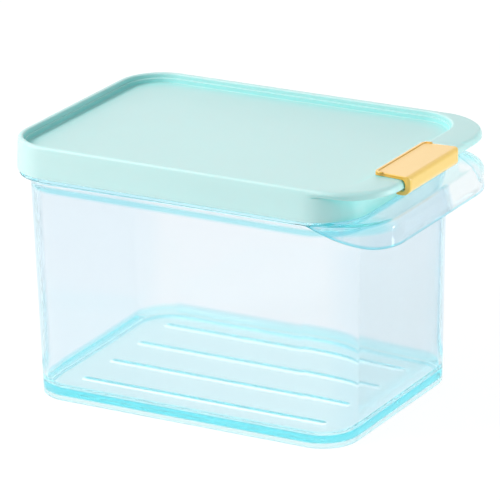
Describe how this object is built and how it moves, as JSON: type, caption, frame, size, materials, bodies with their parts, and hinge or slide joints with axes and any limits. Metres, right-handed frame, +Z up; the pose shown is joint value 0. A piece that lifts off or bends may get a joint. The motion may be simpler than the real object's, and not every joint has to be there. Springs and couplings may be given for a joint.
{
  "type": "milk storage freezer box",
  "caption": "Lidded freezer box for breast milk storage bags: clear drafted tub with an end grip, press-on mint lid with a shelf, seal ring and sliding yellow edge clip.",
  "frame": {"origin": "centre of the tub's foot, at the level of the table it stands on", "axes": "+Z up, +X along the length towards the grip and the clip, +Y across"},
  "size_m": [0.2269, 0.1502, 0.1481],
  "materials": {
    "clear_plastic": "clear moulded plastic, faint blue tint",
    "mint_plastic": "satin mint green polypropylene",
    "silicone": "soft milky silicone",
    "yellow_plastic": "satin warm yellow plastic"
  },
  "bodies": {
    "box": {"box": "clear_plastic"},
    "lid": {"lid": "mint_plastic", "lid_seal": "silicone"},
    "clip": {"edge_clip": "yellow_plastic"}
  },
  "joints": [
    {"name": "lid_lift", "type": "slide", "parent": "box", "child": "lid", "axis": [0, 0, 1], "range_m": [0, 0.1]},
    {"name": "clip_slide", "type": "slide", "parent": "lid", "child": "clip", "axis": [0, 1, 0], "range_m": [-0.003, 0.0248]}
  ]
}
